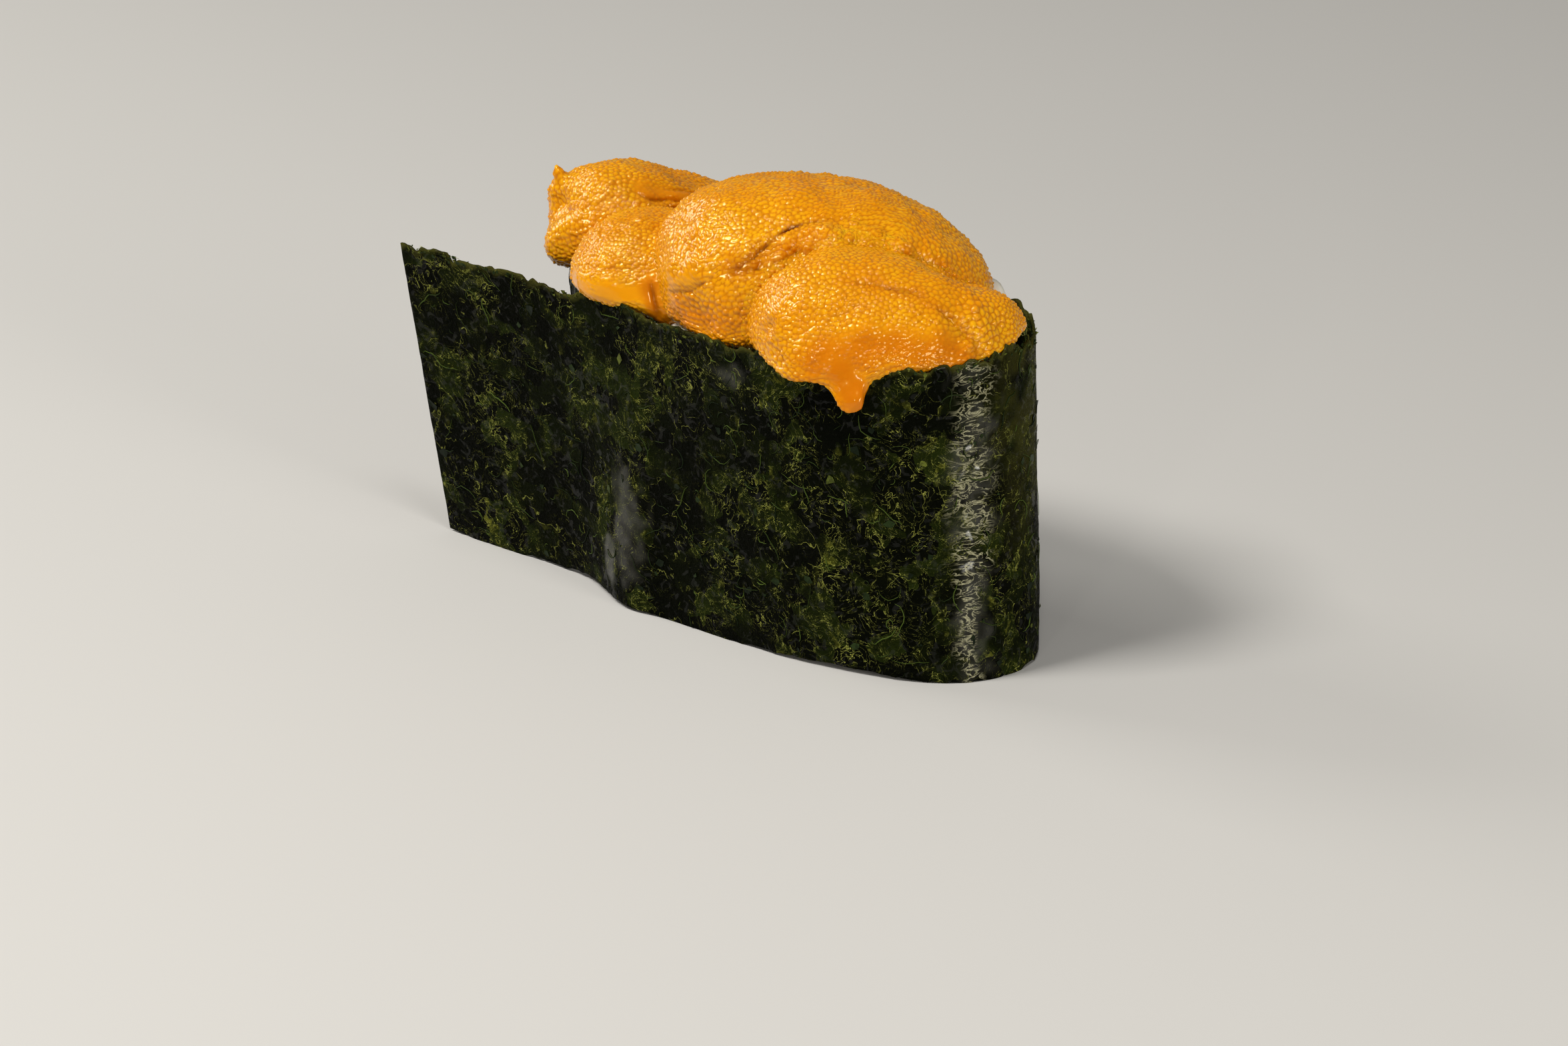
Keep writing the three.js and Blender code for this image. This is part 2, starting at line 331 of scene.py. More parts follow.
def ranged(tree, value, low, high, start=0.0, end=1.0):
    """Maps a value smoothly from one range to another and clamps it."""
    settings = {"interpolation_type": "SMOOTHSTEP"}
    node = add_node(tree, "ShaderNodeMapRange", settings, Value=value, From_Min=low, From_Max=high,
                    To_Min=start, To_Max=end)
    return node.outputs[0]


def maths(tree, operation, *values, kind="ShaderNodeMath"):
    """One sum of numbers, or of vectors with the vector kind of node."""
    node = tree.nodes.new(kind)
    node.operation = operation
    for socket, value in zip(node.inputs, values):
        give(tree, socket, value)
    return node.outputs[0]


def product(tree, first, *others):
    """The product of two or more numbers."""
    for other in others:
        first = maths(tree, "MULTIPLY", first, other)
    return first


def shader_noise(tree, place, scale, detail=3.0, distortion=0.0):
    """Noise with its scale given in features per metre."""
    node = add_node(tree, "ShaderNodeTexNoise", Vector=place, Scale=scale, Detail=detail,
                    Roughness=0.6, Distortion=distortion)
    return node.outputs["Fac"]


def line_noise(tree, place, scale, detail, distortion):
    """Curling lines where it is near 0: how far the noise is from its middle."""
    value = shader_noise(tree, place, scale, detail, distortion)
    return maths(tree, "ABSOLUTE", maths(tree, "SUBTRACT", value, 0.5))


def cells(tree, place, scale, feature="F1"):
    """Cells like bits of leaf pressed side by side."""
    settings = {"feature": feature}
    return add_node(tree, "ShaderNodeTexVoronoi", settings, Vector=place, Scale=scale, Randomness=1.0)


def cell_draws(tree, texture):
    """Two draws from 0 to 1 for each cell."""
    split = add_node(tree, "ShaderNodeSeparateColor", Color=texture.outputs["Color"])
    return split.outputs["Red"], split.outputs["Green"]


def build_leaf_grain():
    """The fine grain of dried leaf as a node group, for the sheet and for the flakes on it."""
    group = bpy.data.node_groups.new("leaf_grain", "ShaderNodeTree")
    group.interface.new_socket("Place", in_out="INPUT", socket_type="NodeSocketVector")
    group.interface.new_socket("Scale", in_out="INPUT", socket_type="NodeSocketFloat")
    group.interface.new_socket("Grain", in_out="OUTPUT", socket_type="NodeSocketFloat")
    inlet = group.nodes.new("NodeGroupInput")
    outlet = group.nodes.new("NodeGroupOutput")
    grain = shader_noise(group, inlet.outputs["Place"], inlet.outputs["Scale"])
    group.links.new(grain, outlet.inputs["Grain"])
    return group


leaf_grain = build_leaf_grain()


def add_leaf_grain(tree, place):
    """Places the leaf grain group in a material."""
    settings = {"node_tree": leaf_grain}
    node = add_node(tree, "ShaderNodeGroup", settings, Place=place, Scale=GRAINS_PER_METRE)
    return node.outputs["Grain"]


nori, tree, shader = new_material("nori", Specular_IOR_Level=0.02, Coat_Roughness=0.16)
place = object_place(tree)
wobble = add_node(tree, "ShaderNodeTexNoise", Vector=place, Scale=420.0, Detail=3.0).outputs["Color"]
warp = (LEAF_WARP, LEAF_WARP, LEAF_WARP)
warped = maths(tree, "MULTIPLY_ADD", wobble, warp, place, kind="ShaderNodeVectorMath")
broad = ranged(tree, shader_noise(tree, place, PATCHES_PER_METRE, 3.0, 0.8), 0.42, 0.6)
clouds = ranged(tree, shader_noise(tree, place, CLOUDS_PER_METRE, 5.0, 1.6), 0.48, 0.62)
threads = line_noise(tree, place, THREADS_PER_METRE, 3.0, 3.0)
fine_threads = line_noise(tree, place, FINE_THREADS_PER_METRE, 2.0, 1.6)
grain = add_leaf_grain(tree, place)
leaf_draw, edge_draw = cell_draws(tree, cells(tree, warped, LEAVES_PER_METRE))
bit_draw, _ = cell_draws(tree, cells(tree, warped, BITS_PER_METRE))
edge_distance = cells(tree, warped, LEAVES_PER_METRE, "DISTANCE_TO_EDGE").outputs["Distance"]
leaf = product(tree, ranged(tree, leaf_draw, 0.35, 1.0), maths(tree, "ADD", product(tree, broad, 0.75), 0.25))
bit = product(tree, ranged(tree, bit_draw, 0.8, 0.86), leaf, clouds, 0.8)
leaf_edge = product(tree, ranged(tree, edge_distance, 0.035, 0.0), ranged(tree, edge_draw, 0.5, 0.8))
leaf_edge = product(tree, leaf_edge, clouds, 0.7)
thread = product(tree, ranged(tree, threads, 0.013, 0.0), broad, ranged(tree, clouds, 0.0, 0.4, 0.25, 1.0))
fine_thread = product(tree, ranged(tree, fine_threads, 0.02, 0.0, 0.0, 0.6), clouds, leaf)
# Pale streaks at the near corner: a painted highlight of crinkled folds, in the band stored on the sheet.
squashed = maths(tree, "MULTIPLY", place, STREAK_SQUASH, kind="ShaderNodeVectorMath")
highlight_streak = ranged(tree, line_noise(tree, squashed, STREAKS_PER_METRE, 3.0, 1.4), 0.05, 0.0)
highlight_streak = product(tree, highlight_streak, read_value(tree, "painted_highlight_band"))
colour = mixed(tree, leaf, NORI_DARK, NORI_GREEN)
colour = mixed(tree, bit, colour, NORI_OLIVE)
colour = mixed(tree, leaf_edge, colour, NORI_VEIN)
colour = mixed(tree, thread, colour, NORI_VEIN)
colour = mixed(tree, fine_thread, colour, NORI_VEIN)
# Sheen patches are painted paler grey as well as given a coat: a painted sheen.
colour = mixed(tree, product(tree, read_value(tree, "sheen"), 0.5), colour, NORI_PAINTED_SHEEN)
colour = mixed(tree, highlight_streak, colour, NORI_PAINTED_HIGHLIGHT)
# The cut rim's olive colour, and near the near end a painted glow of light through the sheet.
colour = mixed(tree, read_value(tree, "rim"), colour, NORI_RIM_AND_GLOW)
tree.links.new(colour, shader.inputs["Base Color"])
tree.links.new(ranged(tree, grain, 0.35, 0.65, 0.45, 0.65), shader.inputs["Roughness"])
film = ranged(tree, shader_noise(tree, place, FILM_PER_METRE, 3.0, 1.5), 0.56, 0.64, 0.0, 0.25)
tree.links.new(maths(tree, "MAXIMUM", read_value(tree, "sheen"), film), shader.inputs["Coat Weight"])
crinkles = line_noise(tree, place, CRINKLES_PER_METRE, 2.0, 1.2)
crinkles = product(tree, crinkles, read_value(tree, "sheen"), 22.0)
height = maths(tree, "ADD", product(tree, threads, -4.0), product(tree, grain, 1.5))
height = maths(tree, "ADD", height, product(tree, clouds, 0.8))
height = maths(tree, "ADD", height, crinkles)
bump = add_node(tree, "ShaderNodeBump", Strength=0.9, Distance=0.00014, Height=height)
tree.links.new(bump.outputs["Normal"], shader.inputs["Normal"])

# Sheen patches: glossier places, with a real coat and crinkles, and a painted sheen in their colour.
SHEEN_PATCHES = [
    ((138, 9), (2.6, 7)), ((141, 4), (1.6, 3)), ((123.1, 28.4), (2.2, 1.6)), ((95.6, 6), (2.4, 9)),
    ((96.0, 22), (3.2, 10)),
]
HIGHLIGHT_BAND_HALF = (1.1, 2.4)
RIM_BAND = (31.3, 32.1)
PAINTED_GLOW_AT = (87, 5)
nori_points = np.vstack([outer, inner])
nori_piece = make_piece("nori_sheet", nori_points, nori_faces.tolist(), nori, "nori_wrap")
flat = nori_flat(columns, ups)
sheen = np.zeros(len(flat))
for (at_along, at_up), (wide, tall) in SHEEN_PATCHES:
    away = ((flat[:, 0] - at_along) / wide) ** 2 + ((flat[:, 1] - at_up) / tall) ** 2
    patch = smooth(np.exp(-away) + 0.35 * noise(flat, 1.2, 6), 0.3, 0.9)
    sheen = np.maximum(sheen, patch * (0.7 + 0.3 * noise(flat, 0.7, 10)))
store(nori_piece, "sheen", np.tile(sheen, 2))
# The band of painted highlight streaks at the near corner, wider higher up.
highlight_band_half = HIGHLIGHT_BAND_HALF[0] + (HIGHLIGHT_BAND_HALF[1] - HIGHLIGHT_BAND_HALF[0]) * smooth(flat[:, 1], 4, 15)
painted_highlight_band = np.exp(-((flat[:, 0] - CORNER + 0.5 * noise(flat, 3, 11)) / highlight_band_half) ** 2)
painted_highlight_band += 0.3 * noise(flat, 1.5, 12)
store(nori_piece, "painted_highlight_band", np.tile(smooth(painted_highlight_band, 0.25, 0.9), 2))
rim_share = smooth(flat[:, 1] + 0.5 * noise(flat, 0.8, 7), *RIM_BAND)
# Paler olive up the wall near the near end: painted light showing through the thin sheet.
painted_glow = np.exp(-((flat[:, 0] - PAINTED_GLOW_AT[0]) / PAINTED_GLOW_AT[1]) ** 2) * smooth(flat[:, 1], 8, 28)
painted_glow = np.clip(painted_glow * (0.5 + 0.6 * noise(flat, 1.6, 13)), 0, 0.45)
store(nori_piece, "rim", np.tile(np.maximum(rim_share, painted_glow), 2))

# Nori fibres: curly threads of seaweed on both faces of the sheet, from dark to pale green.
# They dried on with the sheet, so they follow its surface and stand off it by 0.2 mm or so at most.
FIBRES = 2600
FIBRE_STEPS = 8
FIBRE_STEP = 0.34
FIBRE_LENGTH = (0.35, 1.5)
FIBRE_WIDTH = (0.025, 0.075)
FIBRE_LIFT = (0.01, 0.05)
FIBRE_CURL = 0.28
FIBRE_JITTER = 0.3
INNER_SHARE = 0.12
INNER_TONE = 0.5
FRONT_FROM = 86
FIBRE_DARK = (0.006, 0.012, 0.003, 1)
FIBRE_GREEN = (0.08, 0.12, 0.018, 1)
FIBRE_PALE = (0.62, 0.64, 0.22, 1)


def sheet_points(along, up, off):
    """Points on the sheet by millimetres along, up and off it; off below zero means off its inner face."""
    cols = np.clip(along / NORI_STEP, 0, NORI_COLUMNS - 1)
    shares = np.clip(up / NORI_HEIGHT, 0.004, 1)
    swell = RELIEF_SHARE * nori_relief(cols, shares)
    face = np.where(off >= 0, NORI_THICKNESS / 2, NORI_THICKNESS / 2 - NORI_SHEET)
    return strip_points(cols, shares, face + swell + off)


draw = np.random.default_rng(5)
along = draw.uniform(1, strip_length - 1, FIBRES)
along[:FIBRES // 2] = draw.uniform(FRONT_FROM, strip_length - 0.5, FIBRES // 2)
up = draw.uniform(0.8, NORI_HEIGHT - 0.6, FIBRES)
heading = draw.uniform(0, 2 * math.pi, FIBRES)
turn = draw.normal(0, FIBRE_CURL, FIBRES)
length = draw.uniform(*FIBRE_LENGTH, FIBRES) ** 1.4
width = draw.uniform(*FIBRE_WIDTH, FIBRES)
side = np.where(draw.random(FIBRES) < INNER_SHARE, -1.0, 1.0)
rings = []
for step in range(FIBRE_STEPS):
    heading = heading + turn + draw.normal(0, FIBRE_JITTER, FIBRES)
    along = along + np.cos(heading) * FIBRE_STEP * length
    up = up + np.sin(heading) * FIBRE_STEP * length
    thin = width * (0.35 + 0.65 * math.sin(math.pi * (step + 0.5) / FIBRE_STEPS))
    across = np.stack([-np.sin(heading), np.cos(heading)], -1) * thin[:, None]
    arch = math.sin(math.pi * step / (FIBRE_STEPS - 1))
    lift = FIBRE_LIFT[0] + FIBRE_LIFT[1] * arch * (1 + np.sin(heading * 2))
    ring = [
        sheet_points(along - across[:, 0], up - across[:, 1], side * lift),
        sheet_points(along, up, side * (lift + 1.5 * thin)),
        sheet_points(along + across[:, 0], up + across[:, 1], side * lift),
    ]
    rings.append(np.stack(ring, 1))
fibre_points = np.stack(rings, 1).reshape(-1, 3)
fibre_points[:, 2] = np.maximum(fibre_points[:, 2], TABLE_GAP)
fibre_faces = []
for number in range(FIBRES):
    start = number * FIBRE_STEPS * 3
    for step in range(FIBRE_STEPS - 1):
        for corner in range(3):
            a = start + step * 3 + corner
            b = start + step * 3 + (corner + 1) % 3
            fibre_faces.append((a, b, b + 3, a + 3) if side[number] > 0 else (a, a + 3, b + 3, b))
    fibre_faces.append((start, start + 2, start + 1))
    last = start + (FIBRE_STEPS - 1) * 3
    fibre_faces.append((last, last + 1, last + 2))

fibre, tree, shader = new_material("nori_fibre", Roughness=0.35, Specular_IOR_Level=0.1)
tone = read_value(tree, "tone")
colour = mixed(tree, ranged(tree, tone, 0.0, 0.65), FIBRE_DARK, FIBRE_GREEN)
colour = mixed(tree, ranged(tree, tone, 0.6, 1.0), colour, FIBRE_PALE)
tree.links.new(colour, shader.inputs["Base Color"])
fibres = make_piece("nori_fibres", fibre_points, fibre_faces, fibre)
tones = draw.random(FIBRES) * np.where(side > 0, 1, INNER_TONE)
store(fibres, "tone", np.repeat(tones, FIBRE_STEPS * 3))

# Nori flakes: bits of leaf pressed into the sheet's faces, most of them small and dark, some yellow-green.
# They dried on with the sheet. Those that stand out at the front are placed, and small ones fringe the rim.
FLAKES = 1100
RIM_FLAKES = 420
FLAKE_SIZES = (0.18, 0.75)
OUTER_FLAKES = 0.8
RIM_FLAKE_WIDTHS = (0.1, 0.3)
RIM_FLAKE_HEIGHTS = (0.1, 0.34)
RIM_FLAKE_TONES = (0.35, 0.9)
FLAKE_THICKNESS = 0.035
FLAKE_CURL = 0.12
RIM_FLAKE_CURL = 0.25
FLAKE_DARK = (0.005, 0.01, 0.003, 1)
FLAKE_GREEN = (0.02, 0.036, 0.008, 1)
FLAKE_OLIVE = (0.12, 0.14, 0.018, 1)
FLAKE_PALE = (0.36, 0.38, 0.11, 1)
# Each shown flake: millimetres along and up, half its width, half its height, its turn, and its tone.
SHOWN_FLAKES = [
    (125.3, 19.2, 0.85, 0.75, 20, 0.95), (127.8, 15.8, 0.42, 1.5, -8, 1.0), (119.2, 20, 0.42, 0.45, 10, 0.92),
    (114.5, 21, 0.6, 0.4, 0, 0.85), (102.2, 1.6, 1.2, 0.4, -35, 0.9), (101.5, 3.0, 1.1, 0.35, -25, 0.8),
    (95, 4, 1.1, 1.4, 15, 0.88), (93.4, 6.2, 0.8, 1.2, 0, 0.82), (160.6, 29.4, 1.5, 1.3, 12, 0.72),
    (153.7, 27.6, 1.3, 1.1, -20, 0.76), (142.9, 6.6, 0.5, 1.8, 5, 0.84), (140.8, 2.4, 0.6, 1.3, -5, 0.9),
    (150.1, 17.2, 0.8, 0.5, 15, 0.7), (99, 2.8, 1.5, 1.1, 30, 0.7),
]
draw = np.random.default_rng(9)
flake_points = []
flake_faces = []
flake_tones = []


def add_flake(at, half_wide, half_tall, turned, tone, face, lifted):
    """A thin plate of a few corners on the sheet, a little curled up at one side."""
    corners = draw.integers(4, 7)
    angles = (np.arange(corners) + draw.uniform(-0.3, 0.3, corners)) / corners * 2 * math.pi
    reach = draw.uniform(0.55, 1.15, corners)
    x = np.cos(angles) * half_wide * reach
    y = np.sin(angles) * half_tall * reach
    c, s = math.cos(math.radians(turned)), math.sin(math.radians(turned))
    along = np.append(at[0] + x * c - y * s, at[0])
    up = np.append(at[1] + x * s + y * c, at[1])
    curl = np.append(TABLE_GAP + lifted * np.clip(x / half_wide, 0, 1) ** 2, TABLE_GAP)
    start = len(flake_tones)
    flake_points.append(sheet_points(along, up, face * (curl + FLAKE_THICKNESS)))
    flake_points.append(sheet_points(along, up, face * curl))
    for k in range(corners):
        n = (k + 1) % corners
        top = (start + k, start + n, start + corners)
        low = (start + n + corners + 1, start + k + corners + 1, start + 2 * corners + 1)
        rim = (start + k, start + k + corners + 1, start + n + corners + 1, start + n)
        if face < 0:
            top, low, rim = top[::-1], low[::-1], rim[::-1]
        flake_faces.extend([top, low, rim])
    flake_tones.extend([tone] * (2 * corners + 2))


for shown in SHOWN_FLAKES:
    add_flake(shown[:2], *shown[2:5], shown[5], 1.0, FLAKE_CURL)
for _ in range(FLAKES):
    small = draw.uniform(*FLAKE_SIZES) ** 1.3
    at = (draw.uniform(0.5, strip_length - 0.5), draw.uniform(0.6, NORI_HEIGHT - 0.4))
    tone = draw.random() ** 2.2 * 0.85
    tall = small * draw.uniform(0.4, 1.4)
    turned = draw.uniform(0, 180)
    face = 1.0 if draw.random() < OUTER_FLAKES else -1.0
    add_flake(at, small, tall, turned, tone, face, FLAKE_CURL)
for _ in range(RIM_FLAKES):
    at = (draw.uniform(0.3, strip_length - 0.3), NORI_HEIGHT + draw.uniform(-0.7, 0.0))
    sizes = draw.uniform(*RIM_FLAKE_WIDTHS), draw.uniform(*RIM_FLAKE_HEIGHTS)
    turned = draw.uniform(0, 180)
    tone = draw.uniform(*RIM_FLAKE_TONES)
    add_flake(at, *sizes, turned, tone, draw.choice([-1.0, 1.0]), RIM_FLAKE_CURL)

flake, tree, shader = new_material("nori_flake", Roughness=0.4, Specular_IOR_Level=0.08)
tone = read_value(tree, "tone")
grain = add_leaf_grain(tree, object_place(tree))
colour = mixed(tree, ranged(tree, tone, 0.0, 0.5), FLAKE_DARK, FLAKE_GREEN)
colour = mixed(tree, ranged(tree, tone, 0.55, 0.8), colour, FLAKE_OLIVE)
colour = mixed(tree, ranged(tree, tone, 0.82, 1.0), colour, FLAKE_PALE)
colour = mixed(tree, ranged(tree, grain, 0.4, 0.62, 0.0, 0.5), colour, NORI_DARK)
tree.links.new(colour, shader.inputs["Base Color"])
flakes = make_piece("nori_flakes", np.vstack(flake_points), flake_faces, flake)
flakes.data.shade_flat()
store(flakes, "tone", np.array(flake_tones))

# Sea urchin lobes: the soft roe of the urchin, laid in four tongues on the rice so that it spills over.
# Each tongue is a skin of fine wet granules over a creamy inside, creased where it folds, slick where it ran.

# A lobe is a ball that is stretched, leaned and bulged, then marked along lines over its skin.
# A bulge is a place on the ball, its reach and its pull. A swell is a place, its reach and its height.
# A crease is a line, its depth, width and darkness, a painted shade along it. A slick or amber place is a
# line, its reach and strength; amber is a deeper orange, partly painted shade on lower faces and along
# creases.
# A rough or coarse place is a line and its reach. The finger is the drip: its place, its top and its squeeze.
LOBE_CENTRE = {
    "middle": (4.1, 0, 33.5), "yaw": 44, "size": (16.5, 12.2, 11.2, 4), "lean": (-3.4, 0.8),
    "taper": 0, "ends": (0, 0), "cuts": 127, "granule": 0.43,
    "bulges": [((-0.7, -0.7, -0.2), 0.5, (1, -1.8, -1.2)), ((0.2, -0.9, 0.1), 0.5, (0, 1.5, 0))],
    "creases": [
        ([(5, -11.9, 39.8), (5.2, -11, 40.6), (5.9, -10.1, 41.2), (6.3, -8.6, 41.9),
          (6.9, -7.3, 42.4), (7.5, -6.3, 42.6), (8.3, -5, 42.8)], 0.5, 0.32, 1.3),
        ([(7.5, -6.3, 42.6), (8.5, -4.2, 43), (9.8, -2.7, 42.8), (11.7, -1.2, 42), (13.7, 0.5, 40.9)],
         0.12, 0.6, 0.2),
        ([(3.4, -13.7, 38.4), (5.1, -12.6, 38.8), (7, -10.7, 39.5), (8.2, -9.1, 40.2),
          (9.4, -7, 40.9)], 0.3, 0.6, 0.35),
        ([(10.3, -5.6, 41.2), (12.1, -3.6, 40.7), (13.9, -1.6, 39.9), (15.2, 0, 39.3),
          (16.4, 2.5, 38.4), (17.6, 4.7, 36.6)], 0.3, 0.7, 0.4),
        ([(-4.6, -14, 35), (-1.8, -15.1, 35.3), (0.5, -15.2, 35.9), (1.9, -14.7, 36.9),
          (2.8, -14, 38.1), (3, -13.4, 39.1)], 0.4, 0.5, 0.12),
        ([(3.4, -13.8, 38), (4.7, -12.5, 39.3), (5.4, -11.1, 40.5), (6, -10.1, 41.2)], 0.5, 0.9, 0.5),
        ([(-0.8, -10.4, 42.8), (0.7, -9.1, 43.4), (2.7, -9.2, 43)], 0.25, 0.5, 0.15),
        ([(-8, 6, 43), (-3, 9, 43.5), (3, 12, 41.5)], 0.5, 0.8, 0.3),
    ],
    "swells": [
        ((-2.5, -14.6, 37.2), 2.2, 0.5), ((0.5, -14.8, 37), 2.4, 0.3), ((7.2, -8.8, 41.2), 1.3, 0.45),
        ((8.8, -6.4, 41.6), 1.2, 0.35), ((-1, -9.5, 43), 3, 0.3), ((11, 1, 43), 3, 0.25),
        ((1.7, -15.4, 33.9), 2.6, -0.8), ((5, -12.6, 34), 2.2, -0.6), ((19.5, 3, 35), 4, -0.7),
    ],
    "slick": [
        ([(-6, -12, 33), (-5, -14, 31.5)], 1.2, 0.8),
        ([(-4.6, -13.8, 36.2), (-1.8, -14.8, 36.4), (0.3, -14.9, 36.9)], 1, 0.55),
    ],
    "amber_and_shade": [
        ([(-1, -14, 33.5), (3, -13.4, 33.5), (7, -11.5, 34)], 3.4, 0.7),
        ([(4, -13, 39), (8, -8, 41), (13, -2, 40.5), (17, 4, 37)], 1.6, 0.35),
    ],
    "rough": [
        ([(5.6, -11.6, 39.9), (7.1, -9.6, 40.6), (8.2, -8, 41.4), (10.5, -5, 41.6)], 1.9),
        ([(4, -13, 38.5), (7, -9, 41), (11, -4, 41.3), (15, 1, 39.5)], 2.6),
        ([(-3, -14, 37.5), (1, -13, 39)], 2),
    ],
    "coarse": [([(0, -14.5, 34), (4, -13.8, 34.5), (8, -11, 35)], 2.6)],
}
LOBE_FRONT = {
    "middle": (16.2, -4.2, 32.8), "yaw": 43.5, "size": (13.6, 8.6, 8.1, 3), "lean": (-1.6, 1.5),
    "taper": 0.2, "ends": (2.2, 0.4), "cuts": 122, "granule": 0.43,
    "bulges": [
        ((-0.6, -0.78, -0.1), 0.36, (-0.2, -1.6, -1.6)), ((-0.22, -0.93, -0.3), 0.17, (-0.3, -1.4, -3.4)),
        ((0.5, -0.85, -0.1), 0.45, (0, -0.8, -0.6)), ((-0.75, 0.1, 0.65), 0.35, (1, 0, -1.6)),
        ((0.6, 0.2, 0.75), 0.4, (0, 0, -2)), ((1, 0, 0), 0.3, (0.2, 0, 0)),
    ],
    "creases": [
        ([(16.6, -9.5, 39.6), (18.5, -7.8, 39.3), (19.7, -6.7, 39), (20.9, -5.6, 38.5),
          (21.8, -4.6, 38)], 0.35, 0.5, 0.5),
        ([(22.7, -4.3, 37.4), (24.3, -3.3, 36), (25.4, -2.6, 34.7), (26, -1.8, 33.8),
          (26.6, -1.9, 32.5)], 0.7, 0.8, 0.4),
        ([(17.6, -13.1, 36.2), (18.3, -11.5, 37.3), (19.6, -9.4, 37.9)], 0.35, 1.2, 0),
        ([(12.6, -15.4, 34.6), (13.4, -15.9, 33.2), (14.4, -16.2, 31.6)], 0.35, 0.6, 0.08),
    ],
    "swells": [
        ((12, -13, 38), 2.6, 0.4), ((25.5, -0.5, 36), 1.8, 0.35), ((20, -11, 36.4), 1.8, 0.3),
        ((16, -15, 33), 1.6, 0.3), ((21, -13.2, 29.3), 1, 0.45),
    ],
    "slick": [
        ([(18.5, -14, 33.8), (20.1, -11.8, 35), (21.9, -9.5, 35.3), (24, -6.9, 34.5),
          (25.6, -4.7, 33.3)], 1.9, 0.5),
        ([(19.5, -13.8, 32.2), (20.6, -13.3, 30.7), (21.2, -12.7, 29.3)], 2, 0.95),
    ],
    "amber_and_shade": [
        ([(17, -14.5, 32.5), (19.8, -12.6, 33.6), (22, -9.7, 34), (24.4, -6.9, 33.5),
          (26, -4.5, 32.5)], 3.2, 0.85),
        ([(19.5, -13.8, 32.2), (20.9, -13, 29.3)], 3, 0.9),
        ([(16.6, -9.5, 39.6), (19.7, -6.7, 39), (22.7, -4.3, 37.4)], 1.5, 0.3),
    ],
    "rough": [([(25, 0, 37), (27, -2, 34)], 2.6), ([(11, -15, 35), (13, -15.5, 33)], 2)],
    "coarse": [([(27, -1, 34), (26, 1, 36), (24, 1, 37.5)], 2.4)],
    "finger": ((21, -12.5, 29.5), 32, 0.65),
}
LOBE_LEFT = {
    "middle": (-11.2, -7.2, 32.8), "yaw": 42, "size": (9.5, 7.2, 6.5, 2.5), "lean": (-0.3, 1.4),
    "taper": 0, "ends": (0, 0), "cuts": 96, "granule": 0.38,
    "bulges": [((0.6, -0.75, -0.15), 0.5, (1.6, -2.6, -1.8))],
    "creases": [
        ([(-16.5, -14.6, 34.6), (-12.8, -14.9, 35.3), (-9.6, -13.9, 35.6), (-7.6, -12.4, 36)],
         0.35, 0.5, 0.1),
        ([(-7.4, -13, 34.6), (-6.5, -13.2, 32.9), (-5.8, -12.6, 31.7)], 0.6, 0.45, 0.9),
    ],
    "swells": [
        ((-12.5, -15.3, 34), 2, 0.35), ((-14.5, -11.5, 38), 2.5, 0.2), ((-5.8, -12.6, 31.4), 2.2, 1.1),
    ],
    "slick": [
        ([(-17, -14.6, 33.3), (-14.6, -15.5, 33.2), (-11.7, -15.5, 33.2), (-8.9, -14.5, 33.2),
          (-7.4, -13.2, 33)], 1.25, 1),
        ([(-7.4, -13, 34.2), (-6.9, -13.2, 32.9), (-6.3, -12.6, 31.7)], 1.6, 1),
    ],
    "amber_and_shade": [([(-7.4, -13, 34.2), (-6.9, -13.2, 32.9), (-6, -12.8, 31.2)], 1.9, 0.7)],
    "rough": [([(-15, -12, 37.5), (-12, -9, 39)], 2.5)],
}
LOBE_FAR = {
    "middle": (-20, 1.2, 33.5), "yaw": 44, "size": (11, 7.4, 7.4, 2.6), "lean": (-0.9, 0),
    "taper": 0.25, "ends": (0, 0), "cuts": 98, "granule": 0.42,
    "bulges": [
        ((-0.86, 0, 0.5), 0.2, (-1, 0, 0.6)), ((0.4, 0, 0.9), 0.5, (0, 0, -0.8)),
        ((0.3, 0.95, -0.2), 0.6, (1, 3, 0)),
    ],
    "creases": [
        ([(-18.4, -4.1, 39.5), (-16.6, -2.6, 39), (-15.1, -0.6, 38.5), (-14.2, 1.3, 38.1)],
         0.5, 0.4, 0.6),
        ([(-18.4, -2.7, 40), (-16.9, -0.8, 39.6), (-15.7, 1.4, 39), (-15, 3.1, 38.4)],
         0.3, 0.4, 0.25),
        ([(-17.1, -3.9, 38.8), (-15.5, -2.2, 38.2), (-14.4, -0.5, 37.8)], 0.45, 0.4, 0.5),
        ([(-25.5, -8.1, 36.7), (-23.8, -8.4, 37.4), (-22.5, -8.1, 37.9)], 0.5, 0.7, 0.15),
    ],
    "swells": [
        ((-27.3, -5.9, 39.6), 0.55, 1.5), ((-25.8, -7.4, 37), 1.7, -1.2), ((-24.6, -8.9, 33.2), 2.3, 1.2),
    ],
    "slick": [([(-18.4, -3.2, 39.8), (-16, -1.2, 39.2), (-14.4, 1.6, 38.5)], 1.2, 0.7)],
    "amber_and_shade": [([(-18.4, -3.2, 39.6), (-16, -1.2, 39), (-14.4, 1.6, 38.3)], 1.8, 0.5)],
    "rough": [([(-25, -7, 38), (-21, -6, 39)], 2.5)],
}
LOBES = {
    "lobe_centre": LOBE_CENTRE,
    "lobe_front": LOBE_FRONT,
    "lobe_left": LOBE_LEFT,
    "lobe_far": LOBE_FAR,
}
FULLNESS = 2.2
TOP_SHARE = 0.8
TOP_FROM = -0.3
GRANULE_RISE = 0.16
BEAD_REACH = 0.66
PUSH = 1.6
PUSH_GAP = 0.02
UNEVEN = (0.4, 4.5)
LUMPS = (0.2, 1.9)
WANDER_SIZE = 1.6
CREASE_WANDER = 0.35
AMBER_AND_SHADE_WANDER = 0.6
SLICK_WANDER = 0.5
